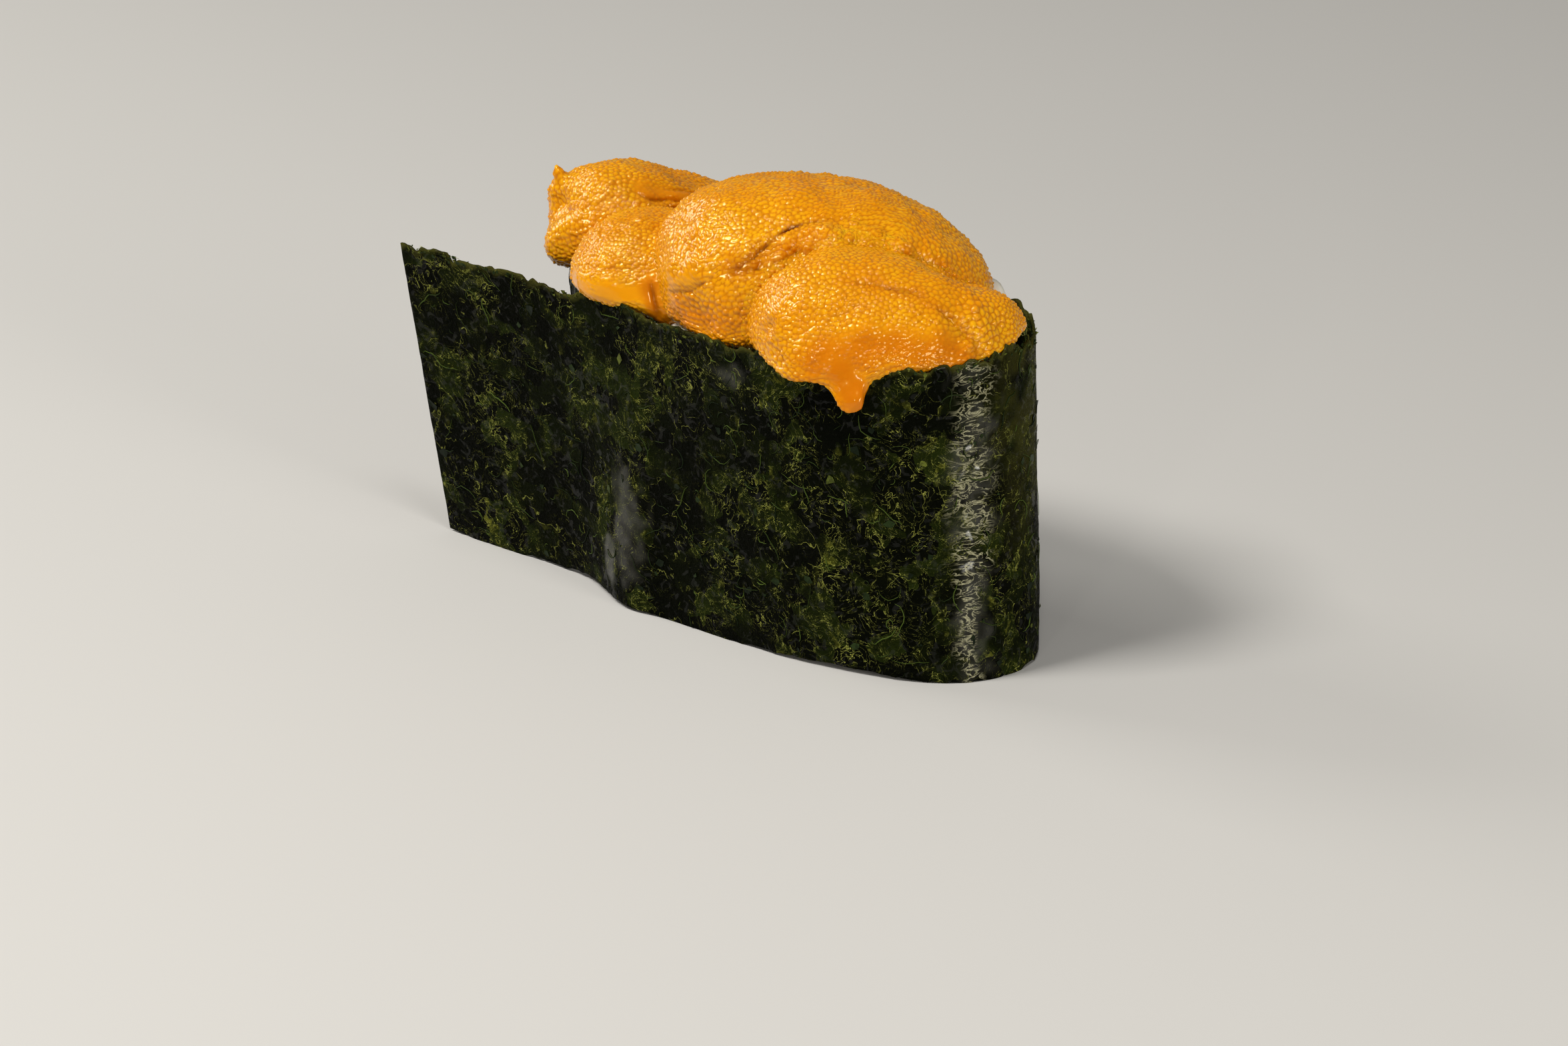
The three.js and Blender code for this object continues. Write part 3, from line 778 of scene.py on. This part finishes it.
ROUGH_BROAD = (0.3, 1.3)
ROUGH_FINE = (0.12, 0.7)
SPACING_BROAD = (0.2, 4)
SPACING_FINE = (0.25, 0.9)
DRIP_ALONG = np.array([0.719, 0.695, 0.0])
DRIP_REACH = 4.5


def ball(cuts):
    """Points and quads of a unit ball made from a cube of even squares, with most of its points high up."""
    t = np.tan(np.linspace(-math.pi / 4, math.pi / 4, cuts + 1))
    a, b = [v.ravel() for v in np.meshgrid(t, t, indexing="ij")]
    one = np.ones(len(a))
    sides = [(a, b, one), (b, a, -one), (one, a, b), (-one, b, a), (b, one, a), (a, -one, b)]
    points = np.vstack([np.stack(side, -1) for side in sides])
    quads = np.vstack([grid_faces(cuts + 1, cuts + 1) + k * len(a) for k in range(6)])
    key = np.round(points * 1e6).astype(np.int64)
    _, first, where = np.unique(key, axis=0, return_index=True, return_inverse=True)
    points = points[first]
    points /= np.linalg.norm(points, axis=1)[:, None]
    depth = (1 - points[:, 2]) / 2
    high = depth / TOP_SHARE * (1 - TOP_FROM)
    low = (1 - TOP_FROM) + (depth - TOP_SHARE) / (1 - TOP_SHARE) * (1 + TOP_FROM)
    z = 1 - np.where(depth < TOP_SHARE, high, low)
    ring = np.sqrt(np.clip(1 - z * z, 0, 1)) / np.maximum(np.linalg.norm(points[:, :2], axis=1), 1e-9)
    return np.column_stack([points[:, :2] * ring[:, None], z]), where.ravel()[quads]


def lobe_points(lobe, p):
    """Takes points of the unit ball to the lobe's smooth skin, in millimetres."""
    length, width, over, under = lobe["size"]
    full = p * (np.abs(p) ** FULLNESS).sum(axis=1)[:, None] ** (-1 / FULLNESS)
    narrow = 1 - lobe["taper"] * full[:, 0]
    tall = np.where(full[:, 2] > 0, over, under)
    crest = np.maximum(full[:, 2], 0)
    bow = full[:, 0] ** 2
    local = np.stack([
        full[:, 0] * length + lobe["lean"][0] * crest,
        full[:, 1] * width * narrow + lobe["lean"][1] * crest + lobe["ends"][0] * bow,
        full[:, 2] * tall * narrow + lobe["ends"][1] * bow,
    ], -1)
    for at, reach, pull in lobe["bulges"]:
        away = ((p - np.array(at) / np.linalg.norm(at)) ** 2).sum(axis=1)
        local += np.exp(-away / reach ** 2)[:, None] * np.array(pull)
    turn = math.radians(lobe["yaw"])
    c, s = math.cos(turn), math.sin(turn)
    world = np.stack([local[:, 0] * c - local[:, 1] * s, local[:, 0] * s + local[:, 1] * c, local[:, 2]], -1)
    return world + np.array(lobe["middle"])


def outward(points, faces):
    """The outward direction at each point of a closed mesh of quads."""
    corners = points[faces]
    across = np.cross(corners[:, 2] - corners[:, 0], corners[:, 3] - corners[:, 1])
    normals = np.zeros_like(points)
    for k in range(4):
        np.add.at(normals, faces[:, k], across)
    return normals / np.maximum(np.linalg.norm(normals, axis=1)[:, None], 1e-12)


def near_line(points, line):
    """How far points are from a line of corners, and the share of it at which their nearest place lies."""
    line = np.array(line, float)
    marks = np.concatenate([[0], np.cumsum(np.linalg.norm(np.diff(line, axis=0), axis=1))])
    best = np.full(len(points), 1e9)
    share = np.zeros(len(points))
    for k in range(len(line) - 1):
        ahead = line[k + 1] - line[k]
        t = np.clip((points - line[k]) @ ahead / (ahead @ ahead), 0, 1)
        away = np.linalg.norm(points - line[k] - t[:, None] * ahead, axis=1)
        closer = away < best
        best[closer] = away[closer]
        share[closer] = (marks[k] + t[closer] * (marks[k + 1] - marks[k])) / marks[-1]
    return best, share


def strongest(skin, places, start, full, drift=0.0):
    """How strongly points lie in marked places, which start and are full at these shares of their reach."""
    result = np.zeros(len(skin))
    for line, reach, amount in places:
        away, _ = near_line(skin, line)
        result = np.maximum(result, amount * smooth(away + drift, reach * start, reach * full))
    return result


def point_tree(points):
    """A tree that finds the nearest of these points."""
    found = KDTree(len(points))
    for k, point in enumerate(points):
        found.insert(point, k)
    found.balance()
    return found


def granule_seeds(points, spacing, seed):
    """Picks points that lie at least the spacing apart, in random order, until no room is left."""
    all_points = point_tree(points)
    free = np.ones(len(points), bool)
    picked = []
    for k in np.random.default_rng(seed).permutation(len(points)):
        if free[k]:
            picked.append(k)
            for _, other, _ in all_points.find_range(points[k], spacing[k]):
                free[other] = False
    return np.array(picked)


def nearest_two(points, seeds):
    """The nearest seed of each point, and its distances to the nearest two."""
    all_seeds = point_tree(seeds)
    found = [all_seeds.find_n(point, 2) for point in points]
    owner = np.array([pair[0][1] for pair in found])
    first = np.array([pair[0][2] for pair in found])
    second = np.array([pair[1][2] for pair in found])
    return owner, first, second


def pushed_out(points, skins):
    """Moves points that lie just inside another lobe out to its skin, so the lobes rest on one another."""
    for other in skins:
        for k, point in enumerate(points):
            near, out, _, distance = other.find_nearest(point, 3.0)
            if near is not None and distance < PUSH and (Vector(point) - near).dot(out) < 0:
                points[k] = near + out * PUSH_GAP
    return points


UNI_TOP = (0.8, 0.325, 0.001, 1)
UNI_PALE = (0.87, 0.42, 0.004, 1)
UNI_DEEP = (0.66, 0.225, 0.001, 1)
UNI_VALLEY_SHADE = (0.58, 0.18, 0.001, 1)
UNI_CREASE_SHADE = (0.2, 0.025, 0.001, 1)
UNI_GEL = (0.8, 0.31, 0.002, 1)
UNI_AMBER_AND_SHADE = (0.6, 0.155, 0.0005, 1)

uni, tree, shader = new_material(
    "uni",
    Roughness=0.2,
    Specular_IOR_Level=0.42,
    Specular_Tint=(1, 0.72, 0.14, 1),
    Subsurface_Weight=0.3,
    Subsurface_Radius=(1.0, 0.5, 0.08),
    Subsurface_Scale=0.0006,
    Coat_Weight=0.3,
    Coat_Roughness=0.06,
)
patches = ranged(tree, shader_noise(tree, object_place(tree), 160), 0.38, 0.64)
body = mixed(tree, patches, UNI_TOP, UNI_PALE)
body = mixed(tree, product(tree, read_value(tree, "tone"), 0.55), body, UNI_DEEP)
# Darker orange in the valleys between granules: painted shade.
colour = mixed(tree, read_value(tree, "granule"), UNI_VALLEY_SHADE, body)
colour = mixed(tree, read_value(tree, "slick"), colour, UNI_GEL)
# Amber: deeper orange gel, partly painted shade on lower faces and along creases.
colour = mixed(tree, read_value(tree, "amber_and_shade"), colour, UNI_AMBER_AND_SHADE)
# Dark red-brown in and beside creases: painted shade.
colour = mixed(tree, read_value(tree, "crease_shade"), colour, UNI_CREASE_SHADE)
tree.links.new(colour, shader.inputs["Base Color"])

lobe_skins = []
for number, (name, lobe) in enumerate(LOBES.items()):
    p, faces = ball(lobe["cuts"])
    skin = lobe_points(lobe, p)
    normals = outward(skin, faces)
    wander = np.column_stack([noise(skin, WANDER_SIZE, 40 + k) for k in range(3)])
    rise = waves(skin, UNEVEN, 50 + number) + waves(skin, LUMPS, 60 + number)
    crease_shade = np.zeros(len(skin))
    for line, depth, width, darkness in lobe["creases"]:
        away, share = near_line(skin + CREASE_WANDER * wander, line)
        ease = np.sqrt(np.clip(np.sin(np.pi * np.clip(share, 0.02, 0.98)), 0, 1))
        groove = 0.65 * np.exp(-(away / (0.5 * width)) ** 2) + 0.45 * np.exp(-(away / (1.8 * width)) ** 2)
        rise -= depth * ease * groove
        # The darkness along each crease is painted shade.
        shade = darkness * ease * np.exp(-(away / (0.75 * width)) ** 2)
        crease_shade = np.maximum(crease_shade, shade * (0.85 + 0.5 * wander[:, 1]))
    for at, reach, lift in lobe["swells"]:
        rise += lift * np.exp(-((skin - np.array(at)) ** 2).sum(axis=1) / reach ** 2)
    for line, reach in lobe["rough"]:
        away, _ = near_line(skin, line)
        roughness = waves(skin, ROUGH_BROAD, 30 + number) + waves(skin, ROUGH_FINE, 35 + number)
        rise += smooth(away, reach, reach * 0.3) * roughness
    amber_and_shade = strongest(skin + AMBER_AND_SHADE_WANDER * wander, lobe["amber_and_shade"], 1, 0.2)
    drift = SLICK_WANDER * wander
    slick = strongest(skin + drift, lobe["slick"], 1.2, 0.3, drift[:, 0])
    coarse = strongest(skin, [(line, reach, 1) for line, reach in lobe.get("coarse", [])], 1, 0.4)
    points = pushed_out(skin + normals * rise[:, None], lobe_skins)
    if "finger" in lobe:
        at, below, squeeze = lobe["finger"]
        aside = (points - np.array(at)) @ DRIP_ALONG
        narrowed = squeeze * smooth(points[:, 2], below, below - 1.2)
        narrowed = narrowed * (aside > 0) * np.exp(-(aside / DRIP_REACH) ** 2)
        points = points - (aside * narrowed)[:, None] * DRIP_ALONG
    lobe_skins.append(BVHTree.FromPolygons(points.tolist(), faces.tolist()))
    drift = waves(points, SPACING_BROAD, 70 + number) + waves(points, SPACING_FINE, 75 + number)
    spacing = lobe["granule"] * (1 + drift + 0.25 * coarse)
    seeds = granule_seeds(points, spacing, 80 + number)
    owner, first, second = nearest_two(points, points[seeds])
    chance = hashed(np.column_stack([seeds, seeds * 3, seeds * 7]), 90 + number)[owner]
    cell = np.clip(1 - (2 * first / (first + second + 1e-6)) ** 2, 0, 1)
    dome = np.minimum(cell, np.clip(1 - (first / (BEAD_REACH * spacing[seeds][owner])) ** 2, 0, 1))
    proud = GRANULE_RISE * (0.5 + 0.95 * chance ** 2 + 0.3 * coarse)
    bead = proud * (1.2 * dome - 0.2 * dome * dome) * (1 - 0.93 * slick)
    points = points + outward(points, faces) * bead[:, None]
    piece = make_piece(name + "_roe", points, faces.tolist(), uni, name)
    store(piece, "granule", np.maximum(smooth(cell, 0.0, 0.6), slick))
    store(piece, "tone", chance * (1 - slick))
    store(piece, "slick", slick)
    store(piece, "amber_and_shade", amber_and_shade)
    store(piece, "crease_shade", np.clip(crease_shade, 0, 1))

# Rice bed: cooked short-grain rice, pressed by hand into a block that fills the wrap.
# The grains are plump, moist and slightly see-through, and lie every way on the block's top and underside.
# Grains that would come through the wrap, or lie deep in the roe or in a place kept clear, are left out.
RICE_EDGE = 28.5
RICE_MIDDLE = 31.5
CORE_GAP = 0.95
CORE_RING = 120
CORE_LIFT = 0.6
CORE_DROP = 0.5
GRAIN_LENGTH = 5.4
GRAIN_WIDTH = 2.6
GRAIN_DEPTH = 0.86
GRAIN_BEND = 0.35
GRAIN_RINGS = 9
GRAIN_SIDES = 10
GRAIN_ROUNDNESS = 0.85
GRAIN_SIZES = (0.85, 1.08)
GRAINS_APART = 1.55
TOP_GRAINS = 330
FOOT_GRAINS = 150
TOP_REACH = 0.96
TOP_JITTER = (-0.5, 0.35)
FOOT_UP = 0.95
WRAP_CLEAR = 0.5
ROE_DEPTH = 1.2
CLEAR_OF = [(22.6, 8.6), (25.6, 5.0), (-19.5, -12.4)]
CLEAR_REACH = 2.9
SHOWN_GRAINS = [(14.1, 12.9, 32.9), (-2.9, -12.6, 30.2)]
SHOWN_SPIN = 1.25
TOP_TILT = 0.22
FOOT_TILT = 0.08


def core_point(radius, degrees, up):
    """A point of the pressed block: how far out, how far round, and how far up, past 1 on its domed top."""
    z = np.minimum(up, 1) * RICE_EDGE + np.maximum(up - 1, 0) * (RICE_MIDDLE - RICE_EDGE)
    part = z / NORI_HEIGHT
    oval = {key: FOOT[key] * (1 - part) + RIM[key] * part - CORE_GAP for key in FOOT}
    x, y = oval_points(oval, np.array([degrees]))[0]
    return np.array([x * radius, y * radius, z])


def through_wrap(points):
    """Whether any of the points lie past the inner face of the wrap."""
    part = np.clip(points[:, 2] / NORI_HEIGHT, 0, 1)
    near, far, half = [FOOT[key] * (1 - part) + RIM[key] * part - WRAP_CLEAR for key in FOOT]
    half = np.where(points[:, 1] < 0, half * TUCK, half)
    reach = np.where(points[:, 0] > 0, near, far)
    out_x = (np.abs(points[:, 0]) / reach) ** OVAL_ROUNDNESS
    out_y = (np.abs(points[:, 1]) / half) ** OVAL_ROUNDNESS
    return bool(((out_x + out_y > 1) & (points[:, 2] < NORI_HEIGHT + 0.2)).any())


def deep_in_roe(place):
    """Whether a place lies deep inside one of the lobes."""
    for lobe_skin in lobe_skins:
        near, out, _, _ = lobe_skin.find_nearest(place, 6.0)
        if near is not None and (Vector(place) - near).dot(out) < -ROE_DEPTH:
            return True
    return False


rice, _, _ = new_material(
    "rice",
    Base_Color=(0.8, 0.76, 0.66, 1),
    Roughness=0.33,
    Subsurface_Weight=0.35,
    Subsurface_Radius=(1.0, 0.8, 0.5),
    Subsurface_Scale=0.001,
    Coat_Weight=0.4,
    Coat_Roughness=0.15,
)

profile = [(0, 0), (0.5, 0), (1, 0), (1, 0.5), (1, 1)] + [(r, 2 - r * r) for r in (0.9, 0.65, 0.35, 0.0)]
core = []
for degrees in np.arange(CORE_RING) / CORE_RING * 360:
    for radius, up in profile:
        point = core_point(radius, degrees, up)
        point[2] += CORE_LIFT if up == 0 else -CORE_DROP
        core.append(point)
rice_points = [np.array(core)]
rice_faces = grid_faces(CORE_RING, len(profile), True)[:, ::-1].tolist()
rings = np.linspace(0.12, math.pi - 0.12, GRAIN_RINGS)
sides = np.arange(GRAIN_SIDES) / GRAIN_SIDES * 2 * math.pi
phi, theta = [v.ravel() for v in np.meshgrid(rings, sides)]
round_share = np.sin(phi) ** GRAIN_ROUNDNESS
grain = np.stack([
    round_share * np.cos(theta) * GRAIN_WIDTH / 2,
    np.cos(phi) * GRAIN_LENGTH / 2,
    round_share * np.sin(theta) * GRAIN_WIDTH * GRAIN_DEPTH / 2,
], -1)
grain[:, 0] += GRAIN_BEND * (grain[:, 1] / GRAIN_LENGTH * 2) ** 2
grain_faces = grid_faces(GRAIN_SIDES, GRAIN_RINGS, True).tolist()
grain_faces += [[k * GRAIN_RINGS for k in range(GRAIN_SIDES)][::-1]]
grain_faces += [[(k + 1) * GRAIN_RINGS - 1 for k in range(GRAIN_SIDES)]]
draw = np.random.default_rng(14)
count = len(core)
taken = []
for k in range((TOP_GRAINS + FOOT_GRAINS) * 4):
    shown = k < len(SHOWN_GRAINS)
    on_top = len(taken) < TOP_GRAINS
    radius = math.sqrt(draw.random()) * TOP_REACH
    place = core_point(radius, draw.random() * 360, 2 - radius ** 2 if on_top else 0.0)
    place[2] += draw.uniform(*TOP_JITTER) if on_top else FOOT_UP
    if shown:
        place = np.array(SHOWN_GRAINS[k])
    if any(np.linalg.norm(place - other) < GRAINS_APART for other in taken):
        continue
    if len(taken) == TOP_GRAINS + FOOT_GRAINS:
        break
    taken.append(place)
    spin = draw.uniform(0, 2 * math.pi)
    tilt = draw.normal(0, TOP_TILT if on_top else FOOT_TILT)
    roll = draw.uniform(0, math.pi)
    if shown:
        spin, tilt = SHOWN_SPIN, 0
    turned = Matrix.Rotation(spin, 3, "Z") @ Matrix.Rotation(tilt, 3, "X") @ Matrix.Rotation(roll, 3, "Y")
    points = grain * draw.uniform(*GRAIN_SIZES) @ np.array(turned).T + place
    points[:, 2] = np.maximum(points[:, 2], 0.05)
    if not shown and through_wrap(points):
        continue
    if on_top and any(np.linalg.norm(place[:2] - clear) < CLEAR_REACH for clear in CLEAR_OF):
        continue
    if deep_in_roe(place):
        continue
    rice_points.append(points)
    rice_faces += [[corner + count for corner in face] for face in grain_faces]
    count += len(points)
make_piece("rice_grains", np.vstack(rice_points), rice_faces, rice, "rice_bed")

# Floor and light: a pale plain floor and soft studio lamps, with the strongest from the upper left.
# The lamp low on the right lights the near end of the wrap, and the small one makes gloss at its corner,
# where highlight streaks are painted too.
FLOOR_REACH = 3.0
SKY_COLOUR = (1.0, 0.98, 0.94, 1)
SKY_STRENGTH = 0.16
AIM = Vector((0, 0, 0.03))
floor_mesh = bpy.data.meshes.new("floor")
corners = [(x * FLOOR_REACH, y * FLOOR_REACH, 0) for x, y in ((-1, -1), (1, -1), (1, 1), (-1, 1))]
floor_mesh.from_pydata(corners, [], [(0, 1, 2, 3)])
floor = bpy.data.objects.new("floor", floor_mesh)
bpy.context.scene.collection.objects.link(floor)
floor_material, _, _ = new_material("floor", Base_Color=(0.6, 0.59, 0.57, 1), Roughness=0.7)
floor_mesh.materials.append(floor_material)

world = bpy.data.worlds.new("studio")
world.use_nodes = True
world.node_tree.nodes["Background"].inputs["Color"].default_value = SKY_COLOUR
world.node_tree.nodes["Background"].inputs["Strength"].default_value = SKY_STRENGTH
bpy.context.scene.world = world
bpy.context.scene.view_settings.view_transform = "Standard"


def soft_lamp(name, place, size, power, colour):
    """A square soft lamp aimed at the food."""
    data = bpy.data.lights.new(name, "AREA")
    data.shape = "SQUARE"
    data.size = size
    data.energy = power
    data.color = colour
    lamp = bpy.data.objects.new(name, data)
    lamp.location = place
    lamp.rotation_euler = (AIM - Vector(place)).to_track_quat("-Z", "Y").to_euler()
    bpy.context.scene.collection.objects.link(lamp)


soft_lamp("key", (-0.14, -0.32, 0.5), size=0.18, power=2.55, colour=(1, 0.97, 0.92))
soft_lamp("top", (0.24, -0.2, 0.5), size=0.1, power=0.6, colour=(1, 0.98, 0.95))
soft_lamp("right", (0.5, -0.07, 0.12), size=0.16, power=1.0, colour=(1, 0.97, 0.9))
soft_lamp("corner", (0.235, -0.407, 0.17), size=0.03, power=0.12, colour=(1, 0.97, 0.9))
soft_lamp("left", (-0.46, -0.1, 0.26), size=0.2, power=0.9, colour=(1, 0.98, 0.92))

# Camera: a long lens a little above the table, looking along the front wall towards the far end.
# Its place, turn and lens were fitted to the photograph, so the piece stands in the picture as it does there.
PHOTO_WIDTH = 2351
CAMERA_PLACE = (0.6208, -0.6443, 0.3226)
CAMERA_AZIMUTH = math.radians(44)
CAMERA_PITCH = math.radians(19.366)
CAMERA_ROLL = math.radians(0.484)
FOCAL_PIXELS = 14229.9
SENSOR_MM = 36
camera_data = bpy.data.cameras.new("camera")
camera_data.sensor_width = SENSOR_MM
camera_data.lens = SENSOR_MM * FOCAL_PIXELS / PHOTO_WIDTH
camera_data.clip_start = 0.05
camera = bpy.data.objects.new("camera", camera_data)
turned = Matrix.Rotation(CAMERA_AZIMUTH, 4, "Z") @ Matrix.Rotation(math.pi / 2 - CAMERA_PITCH, 4, "X")
turned = turned @ Matrix.Rotation(CAMERA_ROLL, 4, "Z")
camera.matrix_world = Matrix.Translation(CAMERA_PLACE) @ turned
bpy.context.scene.collection.objects.link(camera)
bpy.context.scene.camera = camera
